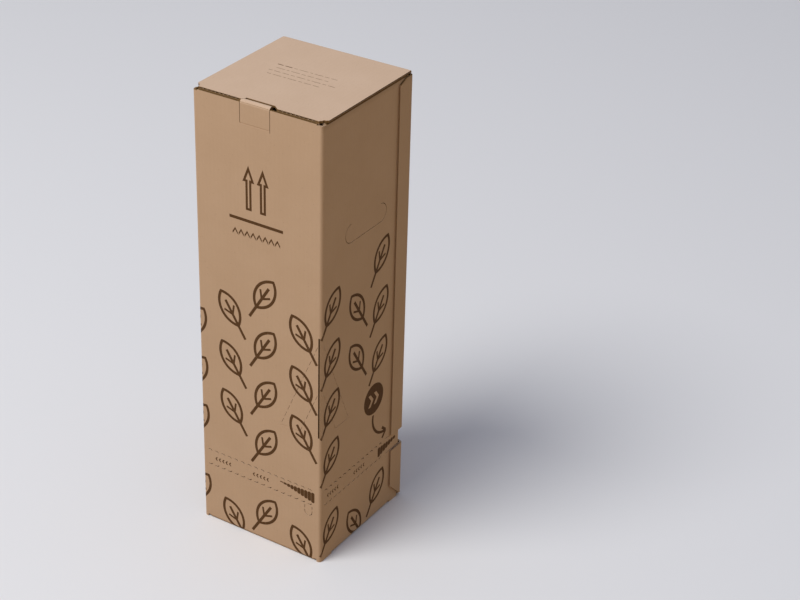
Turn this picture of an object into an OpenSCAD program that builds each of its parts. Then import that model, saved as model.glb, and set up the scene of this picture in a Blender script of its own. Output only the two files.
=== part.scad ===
// Tall shipping carton, closed: one die-cut sheet of corrugated board, folded,
// glued along one corner and under the bottom, with a tuck-in lid and a lock tab.

/* [Body] */
// Outside width of the front panel
body_w = 204; // [190:1:240]
// Outside depth from the front panel to the back panel
body_d = 207; // [190:1:240]
// Height from the floor to the top of the lid
body_h = 680; // [600:5:760]

/* [Board] */
// Thickness of the corrugated board
board_t = 3; // [2.5:0.1:3.6]
// Inside radius of a fold
fold_r = 1.5; // [1:0.1:2]
// Thickness of each flat paper facing
liner_t = 0.5; // [0.3:0.05:0.6]
// Distance from one flute to the next
flute_pitch = 6.5; // [5.5:0.1:8]
// Depth to which the open flutes are cut at an upper edge
flute_depth = 3; // [1:0.5:4]
// Depth of the open flute along the sides of the lid and of the glue flap
side_depth = 2; // [1:0.5:3]
// Height of that open flute along the sides of the lid
side_open = 1.2; // [0.8:0.1:1.8]
// Width of a knife cut
cut_w = 0.8; // [0.5:0.1:1.2]
// Width of a pressed crease
crease_w = 1.4; // [1:0.1:2]
// Depth of that crease
crease_deep = 0.4; // [0.2:0.05:0.5]
// Air between two layers that lie on each other unglued
layer_gap = 0.4; // [0.2:0.1:0.6]

/* [Lid] */
// Cut-off corner of the lid beside the tuck flap
lid_corner = 8; // [6:0.5:12]
// Radius of the relief hole in each cut-off corner
relief_r = 1.8; // [1:0.1:2.5]
// How far the lid reaches over the right panel
lid_over = 1; // [0:0.25:2]
// How far the cut score along the lid's front edge stands open
score_open = 0.7; // [0.4:0.1:1.6]
// Length of the tuck flap behind the front panel
tuck_len = 40; // [30:1:60]
// Corner radius of the tuck flap
tuck_r = 12; // [6:1:18]
// Length of each dust flap under the lid
dust_len = 78; // [50:1:85]
// Distance of a dust flap from the front and back corners
dust_inset = 8.5; // [8:0.5:20]
// How far a dust flap narrows on each side
dust_taper = 9; // [4:1:15]
// How far the corner posts stop below the side panels' top edges
post_drop = 1.2; // [0.4:0.1:6]
// How far the front panel's top edge stands above the side panels'
front_rise = 0.3; // [0.1:0.1:2]

/* [Lock tab] */
// Width of the lock tab in the front panel
tab_w = 46.5; // [36:0.5:60]
// Sideways play taken up by the tab, to the left
tab_shift = 2.75; // [0:0.25:3]
// Height of the tab's side cuts below the lid's top
tab_cut = 32; // [25:1:45]
// How far the tab's right cut runs on below its foot
tab_rip = 3; // [0:0.5:6]
// Length of the tab's nose behind the tuck flap
nose_len = 14; // [8:1:20]
// Narrowing of the nose on the left side
nose_left = 4.5; // [2:0.5:6]
// Narrowing of the nose on the right side
nose_right = 0.5; // [0.5:0.5:4]
// Widening of the lid's slot towards the front, on the left
flare_left = 4.5; // [4:0.5:8]
// Widening of the lid's slot towards the front, on the right
flare_right = 9; // [5:0.5:12]
// Play of the nose in the slot
slot_play = 0.6; // [0.4:0.1:1.5]

/* [Glue flap] */
// Width of the glue flap on the right panel
flap_w = 31.5; // [25:0.5:40]
// Rise of the flap's upper end towards the corner fold
flap_rise = 6.5; // [4:0.5:12]
// Distance of the flap's upper end below the panels' top edges
flap_drop = 2.5; // [2:0.5:6]
// Height of the flap's front edge above its lower end
flap_foot = 27; // [18:1:34]
// Lower end of the flap at the corner fold
flap_low = 4.5; // [3:0.5:10]
// Distance of the right panel's free edge from the back panel
free_gap = 5; // [3:0.5:8]

/* [Tear strip] */
// Height of the strip's middle above the floor
strip_z = 107; // [80:1:160]
// Width of the strip between its two rows of cuts
strip_w = 26.5; // [20:0.5:32]
// Distance from one zipper cut to the next
zip_pitch = 11.5; // [9:0.5:16]
// Straight part of a zipper cut
zip_run = 4.5; // [3:0.5:6]
// Length of its slanting hook
zip_hook = 4; // [2:0.5:5]
// Slant of the hook
zip_slant = 45; // [30:5:60]
// Width of a zipper cut
zip_w = 1.1; // [0.8:0.1:1.5]
// Length of the strip's loose pull end
pull_len = 34; // [28:1:45]
// Width of the thumb notch under the strip
thumb_w = 13; // [10:1:18]
// Height of the thumb notch
thumb_h = 19; // [14:1:24]
// Distance of the thumb notch from the near corner
thumb_in = 14; // [10:1:30]

/* [Hand holes] */
// Length of a hand hole
hand_w = 99; // [80:1:120]
// Height of a hand hole
hand_h = 28; // [22:1:36]
// Height of its middle above the floor
hand_z = 497; // [400:1:540]
// Width of the ties that keep its flap closed
tie_w = 2.5; // [1.5:0.5:5]

/* [Corner brace] */
// Height of the brace's foot above the floor
brace_foot = 209.5; // [180:0.5:240]
// Top of the slit beside the corner fold
brace_top = 368; // [320:1:380]
// Width of that slit
slit_w = 2.1; // [1:0.1:3]
// Distance of the slit from the right panel's face
slit_in = 2.9; // [2:0.1:4]
// Outer reach of the brace at its foot
brace_out = 67; // [50:1:85]
// Inner reach of the brace at its foot
brace_in = 35; // [20:1:40]
// Width of the brace's slanting cuts
dash_w = 0.5; // [0.4:0.1:1]
// Length of a dash in them
dash_len = 9; // [6:0.5:14]
// Gap between two dashes
dash_gap = 4; // [2:0.5:8]

/* [Bottom] */
// Distance of the two outer bottom flaps from the corners
outer_inset = 11; // [9:0.5:16]
// Distance of the two inner bottom flaps from the corners
inner_inset = 33; // [25:1:45]
// Half of the seam between the two outer flaps
seam_half = 0.5; // [0.5:0.5:2]
// Length of each inner bottom flap
inner_len = 96; // [60:1:98]
// Width of the relief notch beside a bottom flap
relief_w = 4.5; // [3:0.5:6]
// Height of that notch
relief_h = 4; // [3:0.5:6]
// Distance from the side face at which an inner flap starts to rise
rise_start = 5.5; // [5:0.5:6]
// Length over which it rises by one board
rise_run = 5; // [4:0.5:5]

/* [Hidden] */
$fn = 48;
over = 1;
lap = 0.4;
fold_ro = fold_r + board_t;
wall_top = body_h - board_t - layer_gap;
post_top = wall_top - post_drop;
front_top = wall_top + front_rise;
lid_w = body_w + lid_over;
free_edge = body_d - board_t - free_gap;
flap_edge = body_d - flap_w;
lock_r = (3 * board_t + 2 * layer_gap) / 2;
lock_z = body_h - lock_r;
tab_x = body_w / 2 - tab_shift - tab_w / 2;
tab_foot = body_h - tab_cut;
tuck_y = board_t + layer_gap;
lid_front = tuck_y + score_open;
slot_back = 2 * lock_r + slot_play;
slot_x0 = tab_x + nose_left - slot_play;
slot_x1 = tab_x + tab_w - nose_right + slot_play + tab_shift / 2;
strip_lo = strip_z - strip_w / 2;
strip_hi = strip_z + strip_w / 2;
pull_start = free_edge - pull_len;
outer_len = body_d / 2 - seam_half;

// A flat drawing on (x, z), pushed through the board from y0 towards the back
module through_y(y0, deep = board_t) {
    translate([0, y0 + deep + over, 0]) rotate([90, 0, 0]) linear_extrude(deep + 2 * over) children();
}

// A flat drawing on (y, z), pushed through the board from x0 towards the right
module through_x(x0, deep = board_t) {
    translate([x0 - over, 0, 0]) rotate([90, 0, 90]) linear_extrude(deep + 2 * over) children();
}

// A profile on (y, z), run along x
module run_x(x0, x1) {
    translate([x0, 0, 0]) rotate([90, 0, 90]) linear_extrude(x1 - x0) children();
}

// A profile on (x, z), run along y
module run_y(y0, y1) {
    translate([0, y1, 0]) rotate([90, 0, 0]) linear_extrude(y1 - y0) children();
}

// Quarter ring of a fold, with its outside corner at the origin. Both ends reach
// a short lap into the flat board that they continue
module bend(ro = fold_ro) {
    translate([ro, ro]) intersection() {
        difference() {
            circle(r = ro);
            circle(r = ro - board_t);
        }
        translate([-ro, -ro]) square(ro);
    }
    translate([0, ro]) square([board_t, lap]);
    translate([ro, 0]) square([lap, board_t]);
}

// Fold and flat flap in profile, leaving a wall that stands on x = 0
module flap_profile(length) {
    bend();
    translate([fold_ro, 0]) square([length - fold_ro, board_t]);
}

// The same for an inner bottom flap, which rises over the outer flaps
module rising_profile(length) {
    slant = board_t * tan(atan(board_t / rise_run) / 2);
    rise_end = rise_start + rise_run;
    bend();
    polygon([
        [fold_ro, 0], [rise_start, 0], [rise_end, board_t], [length, board_t],
        [length, 2 * board_t], [rise_end - slant, 2 * board_t],
        [rise_start - slant, board_t], [fold_ro, board_t]
    ]);
}

// Plan of the upright walls; the right panel's free edge stops short of the back
module wall_plan() {
    bend();
    translate([body_w, 0]) mirror([1, 0]) bend();
    translate([0, body_d]) mirror([0, 1]) bend();
    translate([fold_ro, 0]) square([body_w - 2 * fold_ro, board_t]);
    translate([0, fold_ro]) square([board_t, body_d - 2 * fold_ro]);
    translate([body_w - board_t, fold_ro]) square([board_t, free_edge - fold_ro]);
    translate([fold_ro, body_d - board_t]) square([body_w + board_t - 2 * fold_ro, board_t]);
}

// Plan of the glue flap, folded round the back corner onto the right panel
module glue_plan() {
    translate([body_w + board_t, body_d]) rotate(180) bend();
    translate([body_w, flap_edge]) square([board_t, flap_w - fold_ro]);
}

// Room at a panel's top edge for a fold, between two places along it
module top_room(from, to, level) {
    translate([from, level - fold_ro]) square([to - from, 2 * body_h]);
}

// Room at a panel's bottom edge for a flap's fold and its two relief notches
module foot_room(from, to) {
    translate([from, -over]) square([to - from, fold_ro + over]);
    for (start = [from - relief_w, to])
        translate([start, -over]) square([relief_w, relief_h + over]);
}

// Outline removed from the glue flap: both slanting ends and the strip's gap
module flap_ends() {
    top = wall_top - flap_drop - flap_rise;
    polygon([
        [flap_edge - over, top], [flap_edge, top], [flap_edge + flap_w / 2, top + flap_rise],
        [body_d + over, top + flap_rise], [body_d + over, body_h + over], [flap_edge - over, body_h + over]
    ]);
    polygon([
        [flap_edge - over, -over], [body_d + over, -over], [body_d + over, flap_low],
        [body_d - fold_ro, flap_low], [flap_edge, flap_low + flap_foot],
        [flap_edge - over, flap_low + flap_foot]
    ]);
    translate([flap_edge - over, strip_lo]) square([flap_w + 2 * over, strip_w]);
}

// Upright walls with their edges ready for the flaps
module walls() {
    difference() {
        union() {
            linear_extrude(wall_top) wall_plan();
            translate([lid_corner, 0, wall_top - lap])
                cube([body_w - 2 * lid_corner, board_t, front_top - wall_top + lap]);
        }
        through_y(0) tab_room();
        through_y(0) foot_room(outer_inset, body_w - outer_inset);
        through_y(body_d - board_t) foot_room(outer_inset, body_w - outer_inset);
        through_y(body_d - board_t) top_room(-over, body_w + board_t + over, body_h);
        for (x = [0, body_w - board_t]) {
            through_x(x) foot_room(inner_inset, body_d - inner_inset);
            through_x(x) top_room(dust_inset, body_d - dust_inset, wall_top);
            through_x(x) translate([-over, post_top]) square([dust_inset + over, body_h]);
            through_x(x) translate([body_d - dust_inset, post_top]) square([dust_inset + over, body_h]);
        }
        for (x = [0, body_w - lid_corner])
            through_y(0) translate([x - over, post_top]) square([lid_corner + over, body_h]);
        finger_gap();
    }
}

// Glue flap with its slanting ends, parted where the tear strip's end lies open
module glue_flap() {
    difference() {
        linear_extrude(wall_top) glue_plan();
        through_x(body_w - board_t, 2 * board_t) flap_ends();
        finger_gap();
    }
}

// Half-round finger gap in the back panel, behind the strip's pull end
module finger_gap() {
    r = strip_w / 2;
    through_y(body_d - fold_ro - over, fold_ro + over) {
        translate([body_w, strip_lo]) square([board_t + over, strip_w]);
        translate([body_w, strip_z]) circle(r = r);
    }
}

// Space in the front panel for the lock tab: two side cuts and the bend above
module tab_room() {
    translate([tab_x - cut_w, tab_foot]) square([cut_w, body_h]);
    translate([tab_x + tab_w, tab_foot - tab_rip]) square([cut_w, body_h]);
    translate([tab_x - cut_w, lock_z]) square([tab_w + 2 * cut_w, body_h]);
}

// Two glued bottom layers: the front and back flaps below, the side flaps above
module bottom() {
    run_x(outer_inset, body_w - outer_inset) flap_profile(outer_len);
    translate([0, body_d, 0]) mirror([0, 1, 0])
        run_x(outer_inset, body_w - outer_inset) flap_profile(outer_len);
    run_y(inner_inset, body_d - inner_inset) rising_profile(inner_len);
    translate([body_w, 0, 0]) mirror([1, 0, 0])
        run_y(inner_inset, body_d - inner_inset) rising_profile(inner_len);
}

// Plan of one dust flap, narrower at its free end
module dust_plan() {
    far = body_d - dust_inset;
    polygon([
        [-over, dust_inset], [fold_ro, dust_inset], [dust_len, dust_inset + dust_taper],
        [dust_len, far - dust_taper], [fold_ro, far], [-over, far]
    ]);
}

// Dust flap of the left panel
module dust_flap() {
    intersection() {
        translate([0, 0, wall_top]) mirror([0, 0, 1])
            run_y(dust_inset, body_d - dust_inset) flap_profile(dust_len);
        translate([0, 0, wall_top - 2 * fold_ro]) linear_extrude(3 * fold_ro) dust_plan();
    }
}

// Plan of the lid, with its two front corners cut off
module lid_outline() {
    front = tuck_y;
    polygon([
        [lid_corner, front - over], [body_w - lid_corner, front - over],
        [body_w - lid_corner, front + fold_r], [lid_w, front + fold_r + lid_corner],
        [lid_w, body_d - fold_ro], [lid_w - fold_r, body_d - fold_ro],
        [lid_w - fold_r, body_d + over], [fold_r, body_d + over],
        [fold_r, body_d - fold_ro], [0, body_d - fold_ro],
        [0, front + fold_r + lid_corner], [lid_corner, front + fold_r]
    ]);
}

// The same with the relief hole in the middle of each cut-off corner
module lid_plan() {
    difference() {
        lid_outline();
        for (x = [lid_corner / 2, (body_w - lid_corner + lid_w) / 2])
            translate([x, tuck_y + fold_r + lid_corner / 2]) circle(r = relief_r);
    }
}

// Slot in the lid's front fold for the nose of the lock tab
module lock_slot() {
    translate([0, 0, lock_z - slot_play]) linear_extrude(body_h)
        polygon([
            [slot_x0 - flare_left, 0], [slot_x1 + flare_right, 0],
            [slot_x1 + flare_right, tuck_y], [slot_x1, slot_back], [slot_x0, slot_back],
            [slot_x0, 2 * lock_r - board_t], [slot_x0 - flare_left, tuck_y]
        ]);
}

// Lid in profile on (y, z): back fold and panel, up to the cut score at its front
module lid_profile() {
    translate([body_d, body_h]) rotate(180) bend();
    translate([lid_front, body_h - board_t]) square([body_d - fold_ro - lid_front, board_t]);
}

// Tuck flap on (x, z), with rounded lower corners. It hangs on the lid's inner facing,
// because the score cuts all the rest
module tuck_outline() {
    low = body_h - tuck_len;
    wide = body_w - 2 * lid_corner;
    translate([lid_corner, low + tuck_r]) square([wide, tuck_len - tuck_r - board_t + lap]);
    translate([lid_corner + tuck_r, low]) square([wide - 2 * tuck_r, tuck_r]);
    for (x = [lid_corner + tuck_r, body_w - lid_corner - tuck_r])
        translate([x, low + tuck_r]) circle(r = tuck_r);
}

// Lid with its tuck flap, slot and raw edges
module lid() {
    difference() {
        union() {
            intersection() {
                run_x(0, lid_w) lid_profile();
                linear_extrude(2 * body_h) lid_plan();
            }
            translate([0, tuck_y + board_t, 0]) rotate([90, 0, 0]) linear_extrude(board_t) tuck_outline();
        }
        lock_slot();
        lid_front_flutes();
        lid_side_flute();
        translate([lid_w, 0, 0]) mirror([1, 0, 0]) lid_side_flute();
    }
}

// Open flutes along the cut score, on both sides of the lock slot
module lid_front_flutes() {
    start = lid_corner + liner_t;
    left = slot_x0 - flare_left - liner_t;
    right = slot_x1 + flare_right + liner_t;
    translate([0, lid_front + side_depth, body_h - board_t]) rotate([90, 0, 0])
        linear_extrude(side_depth + over) {
            translate([start, 0]) flute_row(left - start);
            translate([right, 0]) flute_row(body_w - start - right);
        }
}

// Open flute along the lid's left edge, under the outer facing
module lid_side_flute() {
    start = tuck_y + fold_r + lid_corner + liner_t;
    translate([-over, start, body_h - liner_t - side_open])
        cube([over + side_depth, body_d - fold_ro - liner_t - start, side_open]);
}

// Lock tab in profile on (y, z): up the front, over the lid's edge and down its slot
module tab_profile() {
    translate([lock_r, lock_z]) intersection() {
        difference() {
            circle(r = lock_r);
            circle(r = lock_r - board_t);
        }
        translate([-lock_r, 0]) square([2 * lock_r, lock_r]);
    }
    translate([2 * lock_r - board_t, lock_z - nose_len]) square([board_t, nose_len + lap]);
    translate([0, lock_z - lap]) square([board_t, lap]);
}

// Lock tab above the front panel, narrowing towards its nose
module lock_tab() {
    intersection() {
        run_x(tab_x, tab_x + tab_w) tab_profile();
        linear_extrude(2 * body_h) polygon([
            [tab_x, -over], [tab_x + tab_w, -over], [tab_x + tab_w, board_t],
            [tab_x + tab_w - nose_right, 2 * lock_r - board_t], [tab_x + tab_w - nose_right, slot_back],
            [tab_x + nose_left, slot_back], [tab_x + nose_left, 2 * lock_r - board_t], [tab_x, board_t]
        ]);
    }
}

// One zipper cut: a straight run and a hook that leans into the strip
module zip_cut(lean) {
    far = zip_run + zip_hook * cos(zip_slant);
    high = lean * zip_hook * sin(zip_slant);
    polygon([
        [0, 0], [zip_run, 0], [far, high],
        [far - zip_w, high], [zip_run - zip_w, lean * zip_w], [0, lean * zip_w]
    ]);
}

// Both rows of zipper cuts across a panel, from one place along it to another
module zip_rows(from, to) {
    count = floor((to - from) / zip_pitch);
    first = from + (to - from - count * zip_pitch) / 2;
    for (i = [0 : count - 1]) {
        translate([first + i * zip_pitch, strip_lo]) zip_cut(1);
        translate([first + i * zip_pitch, strip_hi]) zip_cut(-1);
    }
}

// Full cuts beside the loose pull end of the strip
module pull_cuts() {
    for (z = [strip_lo, strip_hi - cut_w])
        translate([pull_start, z]) square([pull_len + over, cut_w]);
}

// Dashes along a slanting line
module dashed_line(from, to) {
    span = norm(to - from);
    step = dash_len + dash_gap;
    translate(from) rotate(atan2(to[1] - from[1], to[0] - from[0]))
        for (s = [dash_gap : step : span - dash_len])
            translate([s, -dash_w / 2]) square([dash_len, dash_w]);
}

// Two slanting cuts of the corner brace, measured from the corner
module brace_cuts() {
    slope = (brace_top - brace_foot) / brace_out;
    dashed_line([fold_ro, brace_top - slope * fold_ro], [brace_out, brace_foot]);
    dashed_line([fold_ro, brace_foot + slope * (brace_in - fold_ro)], [brace_in, brace_foot]);
}

// Slit through the front panel beside the near corner fold, as high as the brace
module brace_slit() {
    translate([body_w - slit_in - slit_w, brace_foot]) square([slit_w, brace_top - brace_foot]);
}

// Outline of a hand hole with rounded ends, grown or shrunk all round
module hand_shape(grow) {
    r = hand_h / 2 + grow;
    straight = hand_w - hand_h;
    translate([-straight / 2, -r]) square([straight, 2 * r]);
    for (x = [-straight / 2, straight / 2]) translate([x, 0]) circle(r = r);
}

// Cut line of a hand hole: its top is a crease and three ties hold the flap
module hand_cut() {
    tie_step = hand_w / 4;
    translate([body_d / 2, hand_z]) difference() {
        hand_shape(0);
        hand_shape(-cut_w);
        translate([-(hand_w - hand_h) / 2, 0]) square([hand_w - hand_h, hand_h]);
        for (x = [-tie_step, 0, tie_step])
            translate([x - tie_w / 2, -hand_h]) square([tie_w, hand_h]);
    }
}

// Thumb notch under the strip: a dashed arch that hangs from its lower row
module thumb_cut() {
    r = thumb_w / 2;
    low = strip_lo - thumb_h;
    side_tie = r / 3;
    translate([body_w - thumb_in - r, low + r]) difference() {
        union() {
            circle(r = r);
            translate([-r, 0]) square([thumb_w, thumb_h - r - tie_w]);
        }
        circle(r = r - cut_w);
        translate([cut_w - r, 0]) square([thumb_w - 2 * cut_w, thumb_h]);
        translate([-tie_w / 2, -thumb_h]) square([tie_w, thumb_h]);
        translate([-thumb_w, side_tie]) square([2 * thumb_w, tie_w]);
    }
}

// All cuts through the panels
module cuts() {
    through_y(0) {
        zip_rows(fold_ro, body_w - fold_ro);
        translate([body_w, 0]) mirror([1, 0]) brace_cuts();
        thumb_cut();
    }
    through_y(0, fold_ro) brace_slit();
    through_y(body_d - board_t) zip_rows(fold_ro, body_w - strip_w / 2 - fold_ro);
    through_x(0) {
        zip_rows(fold_ro, body_d - fold_ro);
        hand_cut();
    }
    through_x(body_w - board_t) {
        zip_rows(fold_ro, pull_start);
        hand_cut();
        brace_cuts();
        pull_cuts();
    }
}

// Crease along the top of a hand hole's flap
module hand_crease() {
    flat = hand_w - hand_h;
    translate([(body_d - flat) / 2, hand_z + hand_h / 2 - crease_w / 2]) square([flat, crease_w]);
}

// Creases pressed into the outside of the front and right panels, and into the
// inside above the hand holes, whose flaps are pushed inwards
module creases() {
    half = crease_w / 2;
    deep = crease_deep - over;
    through_y(0, deep) {
        translate([tab_x, tab_foot - half]) square([tab_w, crease_w]);
        translate([body_w - brace_out, brace_foot - half]) square([brace_out - brace_in, crease_w]);
    }
    through_x(body_w - crease_deep + over, deep)
        translate([brace_in, brace_foot - half]) square([brace_out - brace_in, crease_w]);
    through_x(body_w - board_t, deep) hand_crease();
    through_x(board_t - crease_deep + over, deep) hand_crease();
}

// Open flutes on (x, y) at a raw edge that runs along x, one board thick
module flute_row(length) {
    count = floor(length / flute_pitch);
    side = liner_t;
    wide = flute_pitch / 2 - liner_t;
    peak = flute_pitch / 8;
    for (i = [0 : count - 1]) translate([(i + 0.5) * flute_pitch, 0]) {
        polygon([[-wide, side], [wide, side], [peak, board_t - 2 * side], [-peak, board_t - 2 * side]]);
        if (i < count - 1) translate([flute_pitch / 2, 0])
            polygon([[-wide, board_t - side], [wide, board_t - side], [peak, 2 * side], [-peak, 2 * side]]);
    }
}

// Open flutes along the raw edges that face up
module raw_edges() {
    side = lid_corner + liner_t;
    left = tab_x - cut_w - liner_t;
    right = tab_x + tab_w + cut_w + liner_t;
    translate([0, 0, front_top - flute_depth]) linear_extrude(body_h) {
        translate([side, 0]) flute_row(left - side);
        translate([right, 0]) flute_row(body_w - side - right);
    }
    translate([body_w + board_t, flap_edge + liner_t, strip_lo - flute_depth]) rotate(90)
        linear_extrude(2 * flute_depth) flute_row(flap_w - fold_ro);
    translate([body_w + liner_t, flap_edge - over, -over])
        cube([board_t - 2 * liner_t, over + side_depth, body_h]);
}

// The whole carton, standing on the middle of its underside
module carton() {
    color("burlywood") translate([-(body_w + board_t) / 2, -body_d / 2, 0]) {
        difference() {
            union() {
                walls();
                glue_flap();
                bottom();
                dust_flap();
                translate([body_w, 0, 0]) mirror([1, 0, 0]) dust_flap();
            }
            cuts();
            creases();
            raw_edges();
        }
        lid();
        lock_tab();
    }
}

carton();
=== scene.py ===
# %% [markdown]
# A tall shipping carton of brown corrugated board. The folded sheet itself, with its lid, lock tab,
# glue flap, tear strip and cuts, comes ready made as one solid. This lesson gives it what a look
# needs: the light of a plain studio, a paper finish with fibres and faint flutes, and the printing.
# Everything is in metres, in the frame of the carton, which stands on the middle of its underside.

# %% Load the folded carton
import math

import bpy
from mathutils import Matrix, Vector


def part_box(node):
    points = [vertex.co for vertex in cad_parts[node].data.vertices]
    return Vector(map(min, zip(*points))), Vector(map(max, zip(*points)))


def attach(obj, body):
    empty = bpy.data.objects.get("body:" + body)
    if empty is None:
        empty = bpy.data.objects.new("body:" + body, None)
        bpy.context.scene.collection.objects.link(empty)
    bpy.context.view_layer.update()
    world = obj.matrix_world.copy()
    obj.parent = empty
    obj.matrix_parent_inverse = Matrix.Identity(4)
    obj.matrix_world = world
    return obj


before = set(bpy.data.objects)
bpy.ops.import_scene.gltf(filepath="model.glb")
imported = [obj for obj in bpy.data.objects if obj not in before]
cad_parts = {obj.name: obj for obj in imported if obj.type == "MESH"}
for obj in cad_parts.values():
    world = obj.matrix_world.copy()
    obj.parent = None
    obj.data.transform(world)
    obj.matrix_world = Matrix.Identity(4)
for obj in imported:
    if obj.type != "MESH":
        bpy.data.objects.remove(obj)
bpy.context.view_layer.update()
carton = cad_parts["carton"]
scene = bpy.context.scene

# %% [markdown]
# A printer thinks of the carton as a flat blank. The walls follow each other round the carton, so
# one distance along the blank and one height say where anything lies. These few sizes of the
# board and of the panels are enough to fold a flat drawing round the corners later on.

# %% Sizes of the board and the panels
MM = 0.001
BOARD = 3 * MM
FOLD = 4.5 * MM
low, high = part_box("carton")
LEFT, FRONT, BACK, TOP = low.x, low.y, high.y, high.z
RIGHT = high.x - BOARD
WIDTH = RIGHT - LEFT
DEPTH = BACK - FRONT
print(f"Panels: {WIDTH / MM:.0f} x {DEPTH / MM:.0f} x {TOP / MM:.0f} mm")

# %% [markdown]
# The camera comes before the looks, because every later choice is judged through it. It looks down
# at the near corner from about two and a half metres, with a long lens. The carton stands left of
# the middle of the picture, so the lens is shifted a little instead of the camera being turned.

# %% Camera
PHOTO_WIDTH = 800
AXIS_FROM_LEFT = 302
FOCAL_LENGTH_PX = 1954.6
SENSOR = 36
CAMERA_PLACE = (1.3406, -1.9229, 1.7000)
CAMERA_DOWN = 30.006
CAMERA_TURN = 34.946
bpy.ops.object.select_all(action="DESELECT")
bpy.ops.object.camera_add(
    location=CAMERA_PLACE,
    rotation=(math.radians(90 - CAMERA_DOWN), 0, math.radians(CAMERA_TURN)),
)
camera = bpy.context.object
camera.data.sensor_width = SENSOR
camera.data.lens = FOCAL_LENGTH_PX * SENSOR / PHOTO_WIDTH
camera.data.shift_x = (PHOTO_WIDTH / 2 - AXIS_FROM_LEFT) / PHOTO_WIDTH
scene.camera = camera
print(f"Lens of {camera.data.lens:.1f} mm, shifted by {camera.data.shift_x:.3f}")

# %% [markdown]
# Finishes are small programs of nodes. Wiring them one by one hides the idea, so a short class
# stands for a socket and lets ordinary arithmetic add the Math nodes. The reflected forms let a
# plain number stand first, as in 1 - mask.


# %% Sockets that can be added and multiplied
class Wire:
    """An output socket. Arithmetic on it adds Math nodes."""

    def __init__(self, finish, socket):
        self.finish = finish
        self.socket = socket

    def math(self, operation, *others):
        sockets = dict(enumerate((self, *others)))
        return self.finish.node("Math", {"operation": operation}, sockets)

    def __add__(self, other):
        return self.math("ADD", other)

    def __radd__(self, other):
        return self.math("ADD", other)

    def __mul__(self, other):
        return self.math("MULTIPLY", other)

    def __rmul__(self, other):
        return self.math("MULTIPLY", other)

    def __sub__(self, other):
        return self.math("SUBTRACT", other)

    def __rsub__(self, other):
        return self.finish.node("Math", {"operation": "SUBTRACT"}, {0: other, 1: self})

    def __gt__(self, other):
        return self.math("GREATER_THAN", other)

    def __lt__(self, other):
        return self.math("LESS_THAN", other)

    def __abs__(self):
        return self.math("ABSOLUTE")


# %% [markdown]
# A second class stands for the node tree of one finish. Its one method adds any other node: it takes
# the node's type, its settings, which are set first, and what goes into its sockets. The methods
# after it only spell out the few nodes that nearly every finish needs.


# %% The node tree of a finish
class Finish:
    """The node tree of a material or of the sky, which grows by one method."""

    def __init__(self, owner, shader="Principled BSDF"):
        owner.use_nodes = True
        self.tree = owner.node_tree
        self.shader = self.tree.nodes[shader]

    def node(self, kind, settings, sockets, output=0):
        added = self.tree.nodes.new("ShaderNode" + kind)
        for name, value in settings.items():
            setattr(added, name, value)
        for name, value in sockets.items():
            self.plug(added.inputs[name], value)
        return Wire(self, added.outputs[output])

    def plug(self, socket, value):
        if isinstance(value, Wire):
            self.tree.links.new(value.socket, socket)
        else:
            socket.default_value = value

    def blend(self, first, second, share):
        """Mixes two colours, each a wire or a tuple of red, green, blue and one."""
        return self.node("Mix", {"data_type": "RGBA"}, {0: share, 6: first, 7: second}, 2)

    def ramp(self, value, start, end, low_value=0.0, high_value=1.0):
        """Runs smoothly from one value to another while the input goes from start to end."""
        sockets = {0: value, 1: start, 2: end, 3: low_value, 4: high_value}
        return self.node("MapRange", {"interpolation_type": "SMOOTHSTEP"}, sockets)

    def noise(self, place, scale, detail=2.0, roughness=0.5):
        sockets = {"Vector": place, "Scale": scale, "Detail": detail, "Roughness": roughness}
        return self.node("TexNoise", {}, sockets)

    def vector(self, x, y, z):
        return self.node("CombineXYZ", {}, {0: x, 1: y, 2: z})

    def parts(self, vector):
        """The three numbers of a vector."""
        first = self.node("SeparateXYZ", {}, {0: vector})
        node = first.socket.node
        return first, Wire(self, node.outputs[1]), Wire(self, node.outputs[2])


# %% [markdown]
# Paper has a direction: its fibres lie along the web that it was made on, and the flutes under the
# facing run across that. A pattern that simply fills space would ignore both. So each point gets
# the place that it has on the flat sheet: how far along the wall, how high, and which wall. On the
# lid the height is replaced by the depth, because the lid is the back panel carried on.

# %% Where a point lies on the sheet
DIAGONAL = math.sqrt(0.5)


def sheet_place(finish):
    """Distance across the flutes, distance along them, and the wall's own plane."""
    place = finish.node("TexCoord", {}, {}, "Object")
    facing = finish.node("TexCoord", {}, {}, "Normal")
    x, y, z = finish.parts(place)
    facing_x, _, facing_z = finish.parts(facing)
    on_side = abs(facing_x) > DIAGONAL
    on_lid = abs(facing_z) > DIAGONAL
    across = x + on_side * (y - x)
    along = z + on_lid * (y - z)
    plane = y + on_side * (x - y) + on_lid * (z - y)
    return across, along, plane


# %% [markdown]
# The board's facing is unbleached paper. From a step away it is one warm brown, yet a flat colour
# looks like plastic. Real paper is cloudy over some centimetres, streaked by its fibres over some
# millimetres, and carries a few dark flecks of bark. The flutes below press through as a faint
# washboard. A scanned sheet would show its repeats on so tall a carton, so each of these is a
# weak layer made by nodes, and together they read as paper.

# %% Paper facing of the board
FLUTE = 6.5 * MM
CLOUD_SCALE = 16
FIBRES_ACROSS = 90
FIBRES_ALONG = 820
HAIRS_ACROSS = 700
HAIRS_ALONG = 110
HAIRS_SLANT = 260
FLECK_SCALE = 300
FLECK_SIZE = 0.13
FLECK_CHANCE = 0.86
BUMP_HEIGHT = 0.2 * MM
FLUTE_RELIEF = 0.55
FIBRE_RELIEF = 0.3
HAIR_RELIEF = 0.25


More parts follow.
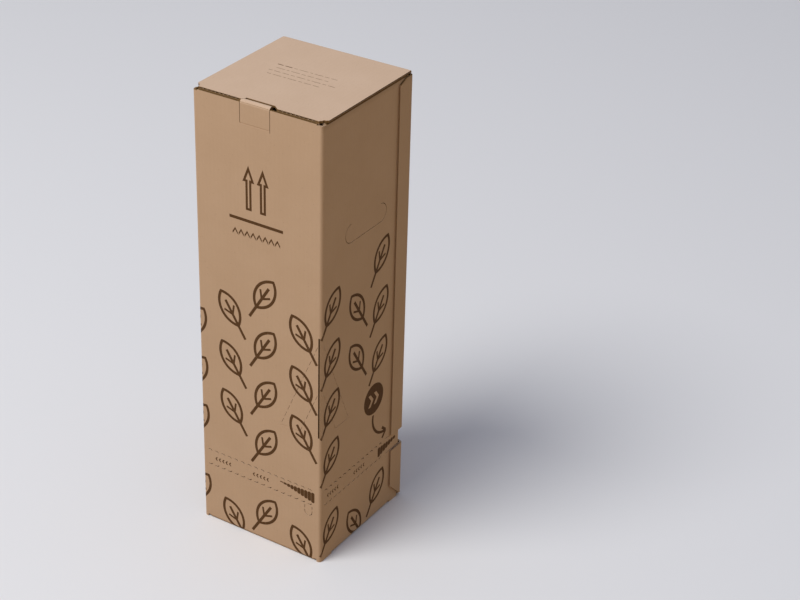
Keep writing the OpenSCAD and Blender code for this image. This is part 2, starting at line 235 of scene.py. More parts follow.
def paper_layers(finish):
    """Clouds, fibres, hairs, flecks and flutes, each as a number from 0 to 1."""
    across, along, plane = sheet_place(finish)
    broad = finish.vector(across, along, plane)
    clouds = finish.noise(broad, CLOUD_SCALE, 3.0)
    streaks = finish.vector(across * FIBRES_ACROSS, along * FIBRES_ALONG, plane * FIBRES_ACROSS)
    fibres = finish.noise(streaks, 1, 3.0, 0.6)
    strands = finish.vector(across * HAIRS_ACROSS + along * HAIRS_SLANT, along * HAIRS_ALONG, plane)
    hairs = finish.noise(strands, 1, 2.0)
    cells = {"Vector": broad, "Scale": FLECK_SCALE, "Randomness": 1.0}
    spots = finish.node("TexVoronoi", {}, cells)
    chance, _, _ = finish.parts(Wire(finish, spots.socket.node.outputs["Color"]))
    flecks = (spots < FLECK_SIZE) * (chance > FLECK_CHANCE)
    flutes = 0.5 + 0.5 * (across * (2 * math.pi / FLUTE)).math("COSINE")
    return clouds, fibres, hairs, flecks, flutes


def paper_bump(finish, fibres, hairs, flutes, strength):
    height = FLUTE_RELIEF * flutes + FIBRE_RELIEF * fibres + HAIR_RELIEF * hairs
    sockets = {"Strength": strength, "Distance": BUMP_HEIGHT, "Height": height}
    finish.plug(finish.shader.inputs["Normal"], finish.node("Bump", {}, sockets))


# %% [markdown]
# Where a knife went through the board, its raw edge shows, darker and rougher than the facing. Its
# colour here is darker still, as painted shade for the open flutes, the gaps under the lid and the
# inside of the carton. Faces could be picked by hand and given a second material, but the cuts are
# many and small. A mask in the one material finds them all: it asks how deep a point lies in the
# sheet and which way the surface faces there. Each kind of edge gets a short function, and their
# answers are added up.

# %% Raw edges of the cuts and of the lid, with painted shade
# The raw board's colour, made darker as painted shade in open flutes, gaps and the inside.
RAW_EDGE_AND_SHADE = (0.160, 0.080, 0.018, 1)
SHALLOW = 0.15 * BOARD
INSIDE = 0.87 * BOARD
UNDER_LID = TOP - BOARD
TAB_MIDDLE = LEFT + 99.25 * MM
TAB_WIDE = 46.5 * MM
SIDEWAYS = 0.6
UPWARDS = 0.75
TOPS_RAW_AND_SHADE = 0.85
CORNER_LESS = 0.65
LID_SIDES_RAW_AND_SHADE = 0.6


def cuts_tops_and_inside_shade(place, facing):
    """Cut walls and the upper ends of the panels as bare board, with painted shade of the gap under
    the lid, and painted shade on the inside.
    """
    x, y, z = place
    # How far below the faces of the two sides and of the front and the back a point lies.
    deep_x = WIDTH / 2 - abs(x - (LEFT + RIGHT) / 2)
    deep_y = DEPTH / 2 - abs(y)
    # Folds are rounded, so close to a corner a point has to lie deeper to count as inside.
    # The inside of the carton is painted as shade, in the same dark colour as the raw edges.
    inside = (deep_x > SHALLOW) * (deep_y > SHALLOW) * (deep_x.math("MAXIMUM", deep_y) > INSIDE)
    inside = inside * (z > FOLD) * (z < TOP - INSIDE)
    # The panels' raw upper ends, darkened further as painted shade of the gap under the lid.
    panel_tops = (facing[2] > UPWARDS) * (z < TOP - 0.7 * BOARD) * (z > TOP - 4 * BOARD)
    # At the near corner the facing is folded round the post, so less raw board and less painted shade
    # show.
    near_corner = (x > RIGHT - 2 * FOLD) * (y < FRONT + 2 * FOLD) * (z > TOP - 2 * FOLD)
    return (TOPS_RAW_AND_SHADE * panel_tops + inside) * (1 - CORNER_LESS * near_corner)


def lid_rim_and_gap_shade(place, facing):
    """The lid's front edge beside the lock tab, with open flutes, and its two closed sides: bare
    board, with painted shade of the gaps below them.
    """
    x, y, z = place
    beside_tab = abs(x - TAB_MIDDLE) > TAB_WIDE / 2
    off_tab = beside_tab.math("MAXIMUM", y > FRONT + 3.3 * BOARD)
    # Raw edge, with painted shade of the gap under the lid's front and sides.
    front = (facing[1] < -SIDEWAYS) * off_tab * (z > UNDER_LID) * (y > FRONT + BOARD)
    front = front * (z < TOP - 0.2 * BOARD)
    sides = (abs(facing[0]) > SIDEWAYS) * (z > UNDER_LID) * (y < BACK - FOLD)
    return front + LID_SIDES_RAW_AND_SHADE * sides


# %% [markdown]
# The edges of the glue flap show raw board too, with painted shade along them. Painted shade also
# darkens the sides where they bend in under the lid, and the facing beside the slit of the brace.
# Shade like this could be painted on by hand. As masks it keeps to the same named places as the cuts,
# so nothing is lined up by eye.

# %% Glue flap and painted shade under the lid and beside the slit
BRACE_FOOT = 209.5 * MM
BRACE_TOP = 368 * MM
FLAP_EDGE_RAW_AND_SHADE = 0.35
FLAP_FACE_RAW = 0.07
SIDE_SHADE_FROM = TOP - 15 * MM
SIDE_SHADE_TO = TOP - 4 * MM
SIDE_SHADE = 0.22
SLIT_SHADE = 0.5


def flap_rim_and_shade(place, facing):
    """The edges of the glue flap, whose face is a touch darker than the panel too."""
    x, _, z = place
    # The edge is raw board with painted shade of the step, darkest close under the outer facing.
    edges = (x > RIGHT + 0.55 * BOARD) * (abs(facing[2]) - facing[1] > 0.5) * (z < UNDER_LID)
    return FLAP_EDGE_RAW_AND_SHADE * edges + FLAP_FACE_RAW * (x > RIGHT + 0.1 * BOARD)


def side_and_slit_shade(finish, place, facing):
    """Painted shade on the sides under the lid's edges, and on the facing beside the slit."""
    x, y, z = place
    # Painted shade on the sides, just under the lid's edges.
    side_shade = (abs(facing[0]) > SIDEWAYS) * finish.ramp(z, SIDE_SHADE_FROM, SIDE_SHADE_TO, 0.0, SIDE_SHADE)
    slit = (x > RIGHT - 0.95 * BOARD) * (y < FRONT + FOLD) * (z > BRACE_FOOT) * (z < BRACE_TOP)
    # Painted shade on the facing beside the slit, where the cut stands open.
    return side_shade + slit * finish.ramp(facing[1], -0.95, -0.25, SLIT_SHADE, 0.0)


def raw_edges_and_shade(finish):
    """How much a point shows of bare board and painted shade: one in cuts and inside, zero on the
    facing.
    """
    place = finish.parts(finish.node("TexCoord", {}, {}, "Object"))
    facing = finish.parts(finish.node("TexCoord", {}, {}, "Normal"))
    shown = cuts_tops_and_inside_shade(place, facing) + lid_rim_and_gap_shade(place, facing)
    shown = shown + flap_rim_and_shade(place, facing) + side_and_slit_shade(finish, place, facing)
    return shown.math("MINIMUM", 1.0)


# %% [markdown]
# The carton's own material mixes these layers. The clouds and fibres choose a tone between a pale
# and a dark kraft, flutes and flecks darken it a little, and the raw edges with the painted shade are
# laid over all. One roughness would do for a clean sheet, but pressed paper is smoother than its loose
# hairs, and raw board is rougher than both, so fibres and the mask of raw edges and painted shade
# change it.

# %% Finish of the carton
KRAFT_PALE = (0.600, 0.420, 0.285, 1)
KRAFT_DARK = (0.450, 0.290, 0.175, 1)
FLECK = (0.230, 0.135, 0.075, 1)
TONE_RANGE = (0.40, 0.74)
FLUTE_DARKENS = 0.05
FLECK_DARKENS = 0.45
BOARD_ROUGH = (0.72, 0.86)
RAW_ROUGHER = 0.14
BOARD_BUMP = 0.35


def board_finish():
    material = bpy.data.materials.new("kraft_board")
    finish = Finish(material)
    clouds, fibres, hairs, flecks, flutes = paper_layers(finish)
    tone = 0.5 * clouds + 0.3 * fibres + 0.2 * hairs
    colour = finish.blend(KRAFT_DARK, KRAFT_PALE, finish.ramp(tone, 0.2, 0.8, *TONE_RANGE))
    colour = finish.blend(colour, KRAFT_DARK, FLUTE_DARKENS * flutes)
    colour = finish.blend(colour, FLECK, FLECK_DARKENS * flecks)
    # Raw edges, and painted shade in flutes, gaps, the inside, under the lid and beside the slit.
    edge_and_shade = raw_edges_and_shade(finish)
    colour = finish.blend(colour, RAW_EDGE_AND_SHADE, edge_and_shade)
    finish.plug(finish.shader.inputs["Base Color"], colour)
    rough = finish.ramp(fibres, 0.3, 0.7, *BOARD_ROUGH) + RAW_ROUGHER * edge_and_shade
    finish.plug(finish.shader.inputs["Roughness"], rough)
    paper_bump(finish, fibres, hairs, flutes, BOARD_BUMP)
    return material


carton.data.materials.clear()
carton.data.materials.append(board_finish())
print("Board finish:", len(carton.data.materials[0].node_tree.nodes), "nodes")

# %% [markdown]
# Printing ink on brown board is a dark brown that sinks into the paper. It is a little thinner where
# the paper lies low between two flutes, and it misses a pin's head of paper here and there. One
# flat brown would look stuck on. The same layers as before drive the ink instead, so the print
# and the paper beside it share their texture.

# %% Printing ink
KRAFT = (0.545, 0.368, 0.238, 1)
INK_COLOUR = (0.092, 0.043, 0.016, 1)
INK_THIN = (0.140, 0.072, 0.031, 1)
INK_MISSES = 0.35
INK_ROUGH = (0.68, 0.82)
INK_SHEEN = 0.15
INK_BUMP = 0.3


def ink_finish():
    material = bpy.data.materials.new("brown_ink")
    finish = Finish(material)
    clouds, fibres, hairs, flecks, flutes = paper_layers(finish)
    loose = finish.ramp(0.6 * fibres + 0.4 * hairs, 0.45, 0.75)
    thin = 0.5 * loose + 0.16 * flutes + 0.1 * clouds
    colour = finish.blend(INK_COLOUR, INK_THIN, thin)
    colour = finish.blend(colour, KRAFT, INK_MISSES * flecks)
    finish.plug(finish.shader.inputs["Base Color"], colour)
    finish.plug(finish.shader.inputs["Roughness"], finish.ramp(fibres, 0.3, 0.7, *INK_ROUGH))
    finish.plug(finish.shader.inputs["Specular IOR Level"], INK_SHEEN)
    paper_bump(finish, fibres, hairs, flutes, INK_BUMP)
    return material


INK_MATERIAL = ink_finish()
print("Ink finish:", len(INK_MATERIAL.node_tree.nodes), "nodes")

# %% [markdown]
# Blender's operators act on all that is selected. A mesh could be filled from lists of points and
# faces instead, but the operators keep the steps as they are by hand. So each one is led by a
# short helper, which first selects just the piece that it is meant for.


# %% Handling a piece
def deselect_all():
    bpy.ops.object.select_all(action="DESELECT")


def make_active(piece):
    deselect_all()
    piece.select_set(True)
    bpy.context.view_layer.objects.active = piece


def apply_modifier(piece, kind, **settings):
    make_active(piece)
    modifier = piece.modifiers.new(kind.lower(), kind)
    for name, value in settings.items():
        setattr(modifier, name, value)
    bpy.ops.object.modifier_apply(modifier=modifier.name)
    return piece


def settle(piece):
    """Puts the piece's place into its mesh, so that its object sits at the origin."""
    make_active(piece)
    bpy.ops.object.transform_apply(location=True, rotation=True, scale=True)
    return piece


def combine(target, tool, operation):
    """Changes the target by the tool, which is used up."""
    apply_modifier(target, "BOOLEAN", operation=operation, object=tool, solver="EXACT")
    bpy.data.objects.remove(tool)
    return target


def join(pieces, name):
    deselect_all()
    for piece in pieces:
        piece.select_set(True)
    bpy.context.view_layer.objects.active = pieces[0]
    if len(pieces) > 1:
        bpy.ops.object.join()
    joined = bpy.context.object
    joined.name = name
    joined.data.name = name
    return joined


def copied(pattern, x, y, turn=0.0):
    """A copy with its own mesh, turned and moved on the blank."""
    piece = pattern.copy()
    piece.data = pattern.data.copy()
    scene.collection.objects.link(piece)
    piece.data.transform(Matrix.Translation((x, y, 0)) @ Matrix.Rotation(math.radians(turn), 4, "Z"))
    return piece


# %% [markdown]
# The print could be a mask in the paper's material. It is made as geometry instead, so that its
# edges stay sharp from any distance. All of it is drawn flat first, as thin slabs on the plane of
# the blank, and folded onto the walls at the end. Two starts are enough: a plate with the corners
# that its shape needs, and a disc. A boolean then cuts one by the other, as a knife and a compass
# would on card.

# %% Plates, discs and strokes
INK_HEIGHT = 0.15 * MM
DEEP = 4 * INK_HEIGHT
ROUND = 96


def sheet_shape(corners):
    """One flat face with the given corners, counterclockwise."""
    deselect_all()
    bpy.ops.mesh.primitive_circle_add(vertices=len(corners), fill_type="NGON")
    shape = bpy.context.object
    for vertex, corner in zip(shape.data.vertices, corners):
        vertex.co = (corner[0], corner[1], 0)
    return shape


def plate(corners, thick=INK_HEIGHT):
    return apply_modifier(sheet_shape(corners), "SOLIDIFY", thickness=thick, offset=0)


def frame_plate(corners, stroke):
    """The outline of a shape, as wide as the stroke, by an inset whose middle is taken out."""
    shape = sheet_shape(corners)
    bpy.ops.object.mode_set(mode="EDIT")
    bpy.ops.mesh.select_all(action="SELECT")
    bpy.ops.mesh.inset(thickness=stroke, use_even_offset=True)
    bpy.ops.mesh.delete(type="FACE")
    bpy.ops.object.mode_set(mode="OBJECT")
    return apply_modifier(shape, "SOLIDIFY", thickness=INK_HEIGHT, offset=0)


def disc(radius, x, y, thick=INK_HEIGHT):
    deselect_all()
    bpy.ops.mesh.primitive_cylinder_add(vertices=ROUND, radius=radius, depth=thick, location=(x, y, 0))
    return settle(bpy.context.object)


def bar(start, end, width, thick=INK_HEIGHT):
    """A straight stroke from one point to another."""
    start, end = Vector(start), Vector(end)
    side = (end - start).normalized().orthogonal() * width / 2
    return plate([start + side, start - side, end - side, end + side], thick)


def chevron(reach, half, thick, deep=INK_HEIGHT):
    """A chevron that points along x, about the blank's origin."""
    corners = [
        (-reach / 2, -half), (-reach / 2 + thick, -half), (reach / 2, 0),
        (-reach / 2 + thick, half), (-reach / 2, half), (reach / 2 - thick, 0),
    ]
    return plate(corners, deep)


# %% [markdown]
# Folding comes next. A point of the flat print is given by its distance round the walls from the near
# corner, its height, and how far it stands off the paper. The right side lies at positive distances,
# the front at negative ones, then the left side and the back, and the blank ends at the glued
# corner. A bend modifier makes one arc, so each fold would need its own, with its own limits. Worked
# out point by point, the print stays flat on the walls and follows the small arc of every fold.

# %% Fold the flat print onto the walls
OUTER_INSET = 11 * MM
INNER_INSET = 33 * MM
HALF_FOLD = math.radians(45)
GLUED_END = -(2 * WIDTH + DEPTH + BOARD)
CORNERS = (0, -WIDTH, -(WIDTH + DEPTH))
# Each panel: where it starts on the blank, its length, its first corner, its direction, its facing
# and how far its bottom fold keeps from the corners.
PANELS = (
    (GLUED_END, WIDTH + BOARD, (RIGHT + BOARD, BACK), (-1, 0), (0, 1), OUTER_INSET),
    (-(WIDTH + DEPTH), DEPTH, (LEFT, BACK), (0, -1), (-1, 0), INNER_INSET),
    (-WIDTH, WIDTH, (LEFT, FRONT), (1, 0), (0, -1), OUTER_INSET),
    (0, DEPTH, (RIGHT, FRONT), (0, 1), (1, 0), INNER_INSET),
)


def folded(around, height, lift):
    """The place on the carton of a point of the blank."""
    start, length, corner, direction, facing, inset = next(
        panel for panel in reversed(PANELS) if around >= panel[0] or panel is PANELS[0]
    )
    corner, direction, facing = Vector(corner), Vector(direction), Vector(facing)
    travel = around - start
    near = min(travel, length - travel)
    reach = FOLD + lift
    if near < FOLD:
        angle = HALF_FOLD * (1 - near / FOLD)
        end = travel > length / 2
        centre = corner + direction * (length - FOLD if end else FOLD) - facing * FOLD
        swing = direction * math.sin(angle) * (1 if end else -1)
        flat = centre + (facing * math.cos(angle) + swing) * reach
    else:
        flat = corner + direction * travel + facing * lift
    if height < FOLD and near > inset:
        angle = HALF_FOLD * (1 - height / FOLD)
        flat -= facing * (reach - reach * math.cos(angle))
        height = FOLD - reach * math.sin(angle)
    return Vector((flat.x, flat.y, height))


print(f"The blank is {(DEPTH - GLUED_END) / MM:.0f} mm long")

# %% [markdown]
# A flat shape can only bend where it has edges. Subdividing all of it would add faces everywhere,
# and most of them would lie on flat walls. So it is cut by a few planes at each fold, and nowhere
# else. Each finished print gets its ink there too, and is fixed to the carton.


# %% Cut the print at the folds and fix it
def slice_at(piece, point, normal, clear=False):
    """Cuts the mesh along a plane, and takes away the side to which the normal points if asked."""
    make_active(piece)
    bpy.ops.object.mode_set(mode="EDIT")
    bpy.ops.mesh.select_all(action="SELECT")
    bpy.ops.mesh.bisect(plane_co=point, plane_no=normal, clear_outer=clear, use_fill=clear)
    bpy.ops.object.mode_set(mode="OBJECT")


def fold_onto_walls(piece):
    """Cuts the flat print at the folds, so that it can bend there, and folds it on."""
    for corner in CORNERS:
        for half in range(-2, 3):
            slice_at(piece, (corner + half * FOLD / 2, 0, 0), (1, 0, 0))
    for half in range(1, 3):
        slice_at(piece, (0, half * FOLD / 2, 0), (0, 1, 0))
    for vertex in piece.data.vertices:
        vertex.co = folded(*vertex.co)
    return piece


def printed(piece):
    """Gives a finished print its ink and fixes it to the carton."""
    piece.data.materials.clear()
    piece.data.materials.append(INK_MATERIAL)
    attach(piece, "root")
    print(f"{piece.name}: {len(piece.data.polygons)} faces")
    return piece


# %% [markdown]
# The lower part of the carton carries a field of leaves. A leaf is the lens where two discs
# overlap. The same lens scaled down could be cut out of it, but then its line would swell
# towards the tips. So a lens from smaller discs is cut out, and the stroke keeps one width. A
# midrib that runs on as a stem and two short veins finish it.

# %% One leaf
LEAF_LONG = 59 * MM
LEAF_WIDE = 34 * MM
STROKE = 4.3 * MM
STEM = 19 * MM
VEIN = 3.2 * MM
RIB_TOP = 0.22 * LEAF_LONG
VEIN_FOOT = -0.14 * LEAF_LONG
VEIN_TOP = 0.03 * LEAF_LONG
VEIN_OUT = 0.28 * LEAF_WIDE


def lens(radius, offset, thick):
    first = disc(radius, -offset, 0, thick)
    return combine(first, disc(radius, offset, 0, 2 * thick), "INTERSECT")


def leaf():
    radius = (LEAF_WIDE**2 + LEAF_LONG**2) / (4 * LEAF_WIDE)
    offset = radius - LEAF_WIDE / 2
    outline = combine(
        lens(radius, offset, INK_HEIGHT), lens(radius - STROKE, offset, DEEP), "DIFFERENCE"
    )
    base = -LEAF_LONG / 2
    rib = bar((0, base - STEM), (0, RIB_TOP), STROKE)
    drawn = combine(outline, rib, "UNION")
    for side in (-1, 1):
        vein = bar((side * STROKE / 4, VEIN_FOOT), (side * VEIN_OUT, VEIN_TOP), VEIN)
        drawn = combine(drawn, vein, "UNION")
    drawn.name = "leaf"
    return drawn


leaf_pattern = leaf()
print("One leaf:", len(leaf_pattern.data.polygons), "faces")

# %% [markdown]
# The corner brace is cut through the same panels, so its dashes and its slit part the ink too. The
# folded print could be cut by the carton's own shape, but its cuts are narrow and lie on two walls
# and a fold. On the flat blank they are plain thin plates, so they are taken out there.

# %% Cuts of the corner brace
CUT_WIDE = 0.5 * MM
SLIT_WIDE = 2.1 * MM
SLIT_AT = -3.95 * MM
BRACE_OUT = 67 * MM
BRACE_IN = 35 * MM
CUT_LONG = 9 * MM
CUT_GAP = 4 * MM


def dashed_cuts(start, end):
    """Cutters along a slanting line, with the same gaps as in the board."""
    start, end = Vector(start), Vector(end)
    along = (end - start).normalized()
    pitch = CUT_LONG + CUT_GAP
    count = int(((end - start).length - pitch) / pitch) + 1
    for step in range(count):
        begin = start + along * (CUT_GAP + step * pitch)
        yield bar(begin, begin + along * CUT_LONG, CUT_WIDE, DEEP)


def brace_cutter():
    slope = (BRACE_TOP - BRACE_FOOT) / BRACE_OUT
    cutters = [bar((SLIT_AT, BRACE_FOOT), (SLIT_AT, BRACE_TOP), SLIT_WIDE, DEEP)]
    for side in (-1, 1):
        start_out = (side * FOLD, BRACE_TOP - slope * FOLD)
        start_in = (side * FOLD, BRACE_FOOT + slope * (BRACE_IN - FOLD))
        cutters += dashed_cuts(start_out, (side * BRACE_OUT, BRACE_FOOT))
        cutters += dashed_cuts(start_in, (side * BRACE_IN, BRACE_FOOT))
    print("Cuts of the brace:", len(cutters))
    return join(cutters, "brace_cutter")


# %% [markdown]
# The field is laid out on the flat blank, so it runs round the corners without a break, as a press
# prints it. An array modifier would fill a plain grid, but the field has a half drop, leaves that
# lean left and right by turns, and gaps for the tear strip and the pull. So a loop places
# copies of the one leaf. A bisect cuts them off straight at the glue flap, at the blank's other end
# and at its foot, and a boolean takes out the cuts of the brace.

# %% Field of leaves
GLUE_FLAP = 31.5 * MM
COLUMNS = 14
COLUMNS_RIGHT = 4
COLUMN_STEP = (DEPTH - GLUED_END) / COLUMNS
FIRST_COLUMN = 26 * MM
ROW_STEP = 79 * MM
LOWEST_ROW = (169 * MM, 208 * MM)
FOOT_ROW = (50 * MM, 22 * MM)
BESIDE_PULL = 60 * MM
ABOVE_PULL = (275 * MM, 298 * MM)
LEAF_TURN = 32
FIELD_TOP = {"right": 455 * MM, "front": 410 * MM, "left": 400 * MM, "back": 400 * MM}


def panel_name(around):
    if around > 0:
        return "right"
    if around > -WIDTH:
        return "front"
    return "left" if around > -(WIDTH + DEPTH) else "back"


def leaf_field():
    leaves = []
    for column in range(-COLUMNS, COLUMNS_RIGHT):
        around = FIRST_COLUMN + column * COLUMN_STEP
        if not GLUED_END + LEAF_WIDE / 2 < around < DEPTH - GLUE_FLAP:
            continue
        odd = column % 2
        turn = LEAF_TURN if odd else -LEAF_TURN
        heights = [FOOT_ROW[odd]]
        height = ABOVE_PULL[odd] if around > BESIDE_PULL else LOWEST_ROW[odd]
        while height < FIELD_TOP[panel_name(around)]:
            heights.append(height)
            height += ROW_STEP
        leaves += [copied(leaf_pattern, around, height, turn) for height in heights]
    print("Leaves in the field:", len(leaves))
    field = join(leaves, "leaf_print")
    slice_at(field, (DEPTH - GLUE_FLAP, 0, 0), (1, 0, 0), clear=True)
    slice_at(field, (GLUED_END, 0, 0), (-1, 0, 0), clear=True)
    slice_at(field, (0, 0, 0), (0, -1, 0), clear=True)
    return combine(field, brace_cutter(), "DIFFERENCE")


printed(fold_onto_walls(leaf_field()))
bpy.data.objects.remove(leaf_pattern)

# %% [markdown]
# High on the front panel stands the sign for the upper side: two upright arrows over a bar, with a
# row of small upward marks below it. Solid arrows would weigh more than the leaves do, so these
# are outlines: a plate with the seven corners of an arrow is inset by one stroke, and its
# middle is taken out. One arrow and one small mark are drawn, and the others are their copies.

# %% Sign for the upper side
ARROW_WIDE = 19 * MM
ARROW_TALL = 65 * MM
ARROW_HEAD = 24 * MM
ARROW_SHAFT = 9.5 * MM
SIGN_STROKE = 3.5 * MM
SIGN_FOOT = 525 * MM
SIGN_MIDDLE = -104.6 * MM
ARROW_APART = 23 * MM
RULE_HEIGHT = 509 * MM
RULE_LONG = 86.6 * MM
RULE_TALL = 4.4 * MM
MARK_HEIGHT = 489 * MM
MARK_STEP = 9.8 * MM
MARK_COUNT = 8
MARK_SHAPE = (10.5 * MM, 4.2 * MM, 3.6 * MM)


def arrow():
    """An upright arrow in outline, with the middle of its foot at the blank's origin."""
    half, shaft = ARROW_WIDE / 2, ARROW_SHAFT / 2
    neck = ARROW_TALL - ARROW_HEAD
    corners = [
        (-shaft, 0), (shaft, 0), (shaft, neck), (half, neck),
        (0, ARROW_TALL), (-half, neck), (-shaft, neck),
    ]
    return frame_plate(corners, SIGN_STROKE)


def upper_side_sign():
    arrow_pattern = arrow()
    mark_pattern = chevron(*MARK_SHAPE)
    pieces = []
    for side in (-1, 1):
        pieces.append(copied(arrow_pattern, SIGN_MIDDLE + side * ARROW_APART / 2, SIGN_FOOT))
    half = RULE_LONG / 2
    ends = (SIGN_MIDDLE - half, RULE_HEIGHT), (SIGN_MIDDLE + half, RULE_HEIGHT)
    pieces.append(bar(*ends, RULE_TALL))
    first = SIGN_MIDDLE - MARK_STEP * (MARK_COUNT - 1) / 2
    for mark in range(MARK_COUNT):
        pieces.append(copied(mark_pattern, first + mark * MARK_STEP, MARK_HEIGHT, 90))
    bpy.data.objects.remove(arrow_pattern)
    bpy.data.objects.remove(mark_pattern)
    return join(pieces, "upper_side_sign")


printed(fold_onto_walls(upper_side_sign()))

# %% [markdown]
# The print on the tear strip shows how it is used. Groups of small arrowheads run along it round
# the carton, and are copies of one. A stack of bars grows towards the near corner, and a second
# one shrinks along the side. An array modifier could repeat a bar, but each bar has its own
# height, so a loop draws them.

# %% Marks on the tear strip
STRIP = 107 * MM
GROUPS = range(-9, 2)
GROUP_STEP = 66 * MM
GROUP_FIRST = 30 * MM
GROUP_MARKS = 5
GROUP_PITCH = 6 * MM
GROUP_SHAPE = (4.2 * MM, 3 * MM, 2.1 * MM)
CLEAR_OF = ((-80 * MM, -4 * MM), (130 * MM, 210 * MM), (GLUED_END, GLUED_END + 35 * MM))
STACK_TALL = 17 * MM
# Each stack: its first and last place on the blank, the heights of its first and last bar, its top
# and the number of its bars.
STACKS = (
    (-66 * MM, -13 * MM, 1.6 * MM, STACK_TALL, 116 * MM, 10),
    (148 * MM, 188 * MM, 16 * MM, 5 * MM, 114 * MM, 7),
)
STACK_LEAN = 0.12
BAR_SHARE = 0.47
CORNER_SHARE = 0.55


def mark_group(pattern, middle):
    first = middle - GROUP_PITCH * (GROUP_MARKS - 1) / 2
    for mark in range(GROUP_MARKS):
        yield copied(pattern, first + mark * GROUP_PITCH, STRIP, 180)


def bar_stack(start, end, start_tall, end_tall, top, count):
    """Upright bars with cut corners, whose height runs evenly from one end to the other."""
    step = (end - start) / (count - 1)
    half = abs(step) * BAR_SHARE
    for number in range(count):
        share = number / (count - 1)
        x = start + number * step
        tall = start_tall + share * (end_tall - start_tall)
        head = top - (STACK_TALL - tall) * STACK_LEAN
        cut = min(half, tall / 2) * CORNER_SHARE
        corners = [
            (x - half, head - tall + cut), (x - half + cut, head - tall),
            (x + half - cut, head - tall), (x + half, head - tall + cut),
            (x + half, head - cut), (x + half - cut, head),
            (x - half + cut, head), (x - half, head - cut),
        ]
        yield plate(corners)


def strip_marks():
    pattern = chevron(*GROUP_SHAPE)
    pieces = []
    for group in GROUPS:
        middle = GROUP_FIRST + group * GROUP_STEP
        if not any(start < middle < end for start, end in CLEAR_OF):
            pieces += mark_group(pattern, middle)
    bpy.data.objects.remove(pattern)
    for stack in STACKS:
        pieces += bar_stack(*stack)
    return join(pieces, "strip_marks")


printed(fold_onto_walls(strip_marks()))

# %% [markdown]
# Above the loose end a disc with two knocked-out arrowheads and a bent arrow point to the pull. A
# bevelled curve would give the bend quickly, but as a round tube. Here it is flat ink: a ring made
# of two discs, of which a window keeps about a quarter, with two straight barbs.

# %% Disc and bent arrow above the pull
DISC_AT = (131 * MM, 206 * MM)
DISC_RADIUS = 24.5 * MM
GLYPH_SHAPE = (13 * MM, 10 * MM, 6 * MM)
GLYPHS_APART = 14 * MM
BEND_CENTRE = (163.5 * MM, 170.5 * MM)
BEND_RADIUS = 34 * MM
BEND_START = 8 * MM
TIP_PAST = 1 * MM
BARBS = ((-10 * MM, 9 * MM), (-9 * MM, -10 * MM))


def pull_mark():
    x, y = DISC_AT
    mark = disc(DISC_RADIUS, x, y)
    glyph_pattern = chevron(*GLYPH_SHAPE, DEEP)
    for side in (-1, 1):
        glyph = copied(glyph_pattern, x + side * GLYPHS_APART / 2, y)
        mark = combine(mark, glyph, "DIFFERENCE")
    bpy.data.objects.remove(glyph_pattern)
    bend_x, bend_y = BEND_CENTRE
    ring = disc(BEND_RADIUS + STROKE / 2, bend_x, bend_y)
    ring = combine(ring, disc(BEND_RADIUS - STROKE / 2, bend_x, bend_y, DEEP), "DIFFERENCE")
    left, bottom = bend_x - 2 * BEND_RADIUS, bend_y - 2 * BEND_RADIUS
    top = bend_y + BEND_START
    window = plate([(left, bottom), (bend_x, bottom), (bend_x, top), (left, top)], DEEP)
    ring = combine(ring, window, "INTERSECT")
    tip = Vector((bend_x + TIP_PAST, bend_y - BEND_RADIUS))
    for barb in BARBS:
        ring = combine(ring, bar(tip, tip + Vector(barb), STROKE), "UNION")
    return join([mark, ring], "pull_mark")


printed(fold_onto_walls(pull_mark()))

# %% [markdown]
# Four short rows of thin dashes cross the lid, and the first row starts with two bolder ones. Dashes
# all alike would look like stitches, so their lengths vary. They could be drawn at random, but
# then every run would need the same seed. A sine is irregular enough and always the same.

# %% Rows of dashes on the lid
LINE_LEFT = -54 * MM
LAST_START = 42 * MM
LINE_STEP = 10.5 * MM
LINE_FIRST = 17.5 * MM
LINE_COUNT = 4
LINE_TALL = 0.6 * MM
BOLD_TALL = 1.5 * MM
BOLD_DASHES = 2
INDENT = 5 * MM
SHORTER = 6 * MM
DASH_LONG = 9 * MM
DASH_SWING = 5 * MM
DASH_SPACE = 3.2 * MM
SWING_ALONG = 2.7
SWING_DOWN = 1.9


def lid_lines():
    pieces = []
    for row in range(LINE_COUNT):
        odd = row % 2
        y = LINE_FIRST - row * LINE_STEP
        x = LINE_LEFT + odd * INDENT
        dash = 0
        while x < LAST_START - odd * SHORTER:
            long = DASH_LONG + DASH_SWING * math.sin(SWING_ALONG * dash + SWING_DOWN * row)
            tall = BOLD_TALL if row == 0 and dash < BOLD_DASHES else LINE_TALL
            pieces.append(bar((x, y), (x + long, y), tall))
            x += long + DASH_SPACE
            dash += 1
    lines = join(pieces, "lid_lines")
    lines.data.transform(Matrix.Translation((0, 0, TOP)))
    return lines


printed(lid_lines())

# %% [markdown]
# The studio's floor is pale. A floor that is as pale for every ray would light the shaded side from
# below, and a dark one would look heavy. So it is pale for the rays that the camera, a gloss or a
# glass sends out, and dimmer and warmer for all others. It keeps the carton's shadow either way.

# %% Floor
FLOOR_SIZE = 30
FLOOR_ROUGH = 0.9
FLOOR_SHEEN = 0.1
FLOOR_PALE = (0.765, 0.73, 0.685, 1)
FLOOR_DIM = (0.40, 0.265, 0.12, 1)


def seen_ray(finish):
    """One for rays that the camera, a gloss or a glass sends out."""
    camera_ray = finish.node("LightPath", {}, {}, "Is Camera Ray")
    outputs = camera_ray.socket.node.outputs
    gloss_ray = Wire(finish, outputs["Is Glossy Ray"])
    glass_ray = Wire(finish, outputs["Is Transmission Ray"])
    return camera_ray.math("MAXIMUM", gloss_ray).math("MAXIMUM", glass_ray)


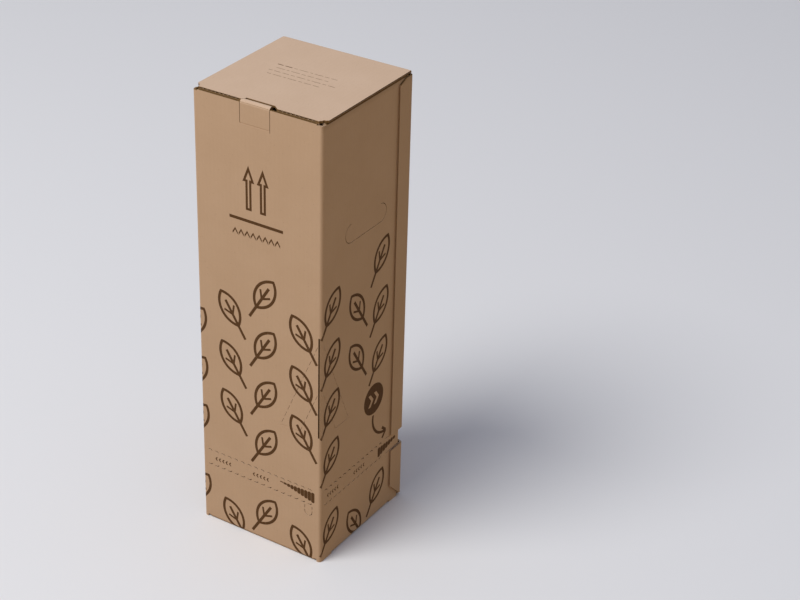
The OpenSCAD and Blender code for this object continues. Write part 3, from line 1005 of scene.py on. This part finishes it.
def add_floor():
    deselect_all()
    bpy.ops.mesh.primitive_plane_add(size=FLOOR_SIZE, location=(0, 0, 0))
    floor = settle(bpy.context.object)
    floor.name = "studio_floor"
    material = bpy.data.materials.new("studio_floor")
    finish = Finish(material)
    colour = finish.blend(FLOOR_DIM, FLOOR_PALE, seen_ray(finish))
    finish.plug(finish.shader.inputs["Base Color"], colour)
    finish.plug(finish.shader.inputs["Roughness"], FLOOR_ROUGH)
    finish.plug(finish.shader.inputs["Specular IOR Level"], FLOOR_SHEEN)
    floor.data.materials.append(material)


add_floor()
print(f"Floor: {FLOOR_SIZE} m wide")

# %% [markdown]
# One large soft lamp high in front and a little to the left lights the lid most, the front less and
# the right side hardly at all. More lamps could fill the shade, but each casts a shadow of its
# own. A weak sky fills it in instead, cooler from above and warmer from the side, as the bounce
# of a room is.

# %% Sky and lamp
SKY_SEEN = (0.80, 0.785, 0.76, 1)
SKY_HIGH = (0.26, 0.36, 0.60, 1)
SKY_LOW = (0.43, 0.315, 0.105, 1)
LAMP_AWAY = 7.0
LAMP_TOWARDS = Vector((-0.22, -0.51, 0.835))
LAMP_SIZE = 3.7
LAMP_LEVEL = 0.85
LAMP_COLOUR = (0.965, 0.995, 1.04)


def add_sky():
    scene.world = bpy.data.worlds.new("studio_sky")
    finish = Finish(scene.world, "Background")
    direction = finish.node("TexCoord", {}, {}, "Generated")
    upwards = finish.parts(direction)[2]
    light = finish.blend(SKY_LOW, SKY_HIGH, upwards.math("MAXIMUM", 0.0))
    colour = finish.blend(light, SKY_SEEN, seen_ray(finish))
    finish.plug(finish.shader.inputs["Color"], colour)


def add_lamp():
    middle = Vector((0, 0, TOP / 2))
    bpy.ops.object.light_add(type="AREA", location=middle + LAMP_TOWARDS.normalized() * LAMP_AWAY)
    lamp = bpy.context.object
    lamp.rotation_euler = LAMP_TOWARDS.to_track_quat("Z", "Y").to_euler()
    lamp.data.shape = "DISK"
    lamp.data.size = LAMP_SIZE
    # With this energy a white card that faces the lamp renders at about LAMP_LEVEL.
    lamp.data.energy = LAMP_LEVEL * (math.pi * LAMP_AWAY) ** 2
    lamp.data.color = LAMP_COLOUR


add_sky()
add_lamp()
scene.view_settings.view_transform = "Standard"
print(f"Lamp {LAMP_SIZE} m across, {LAMP_AWAY} m away")
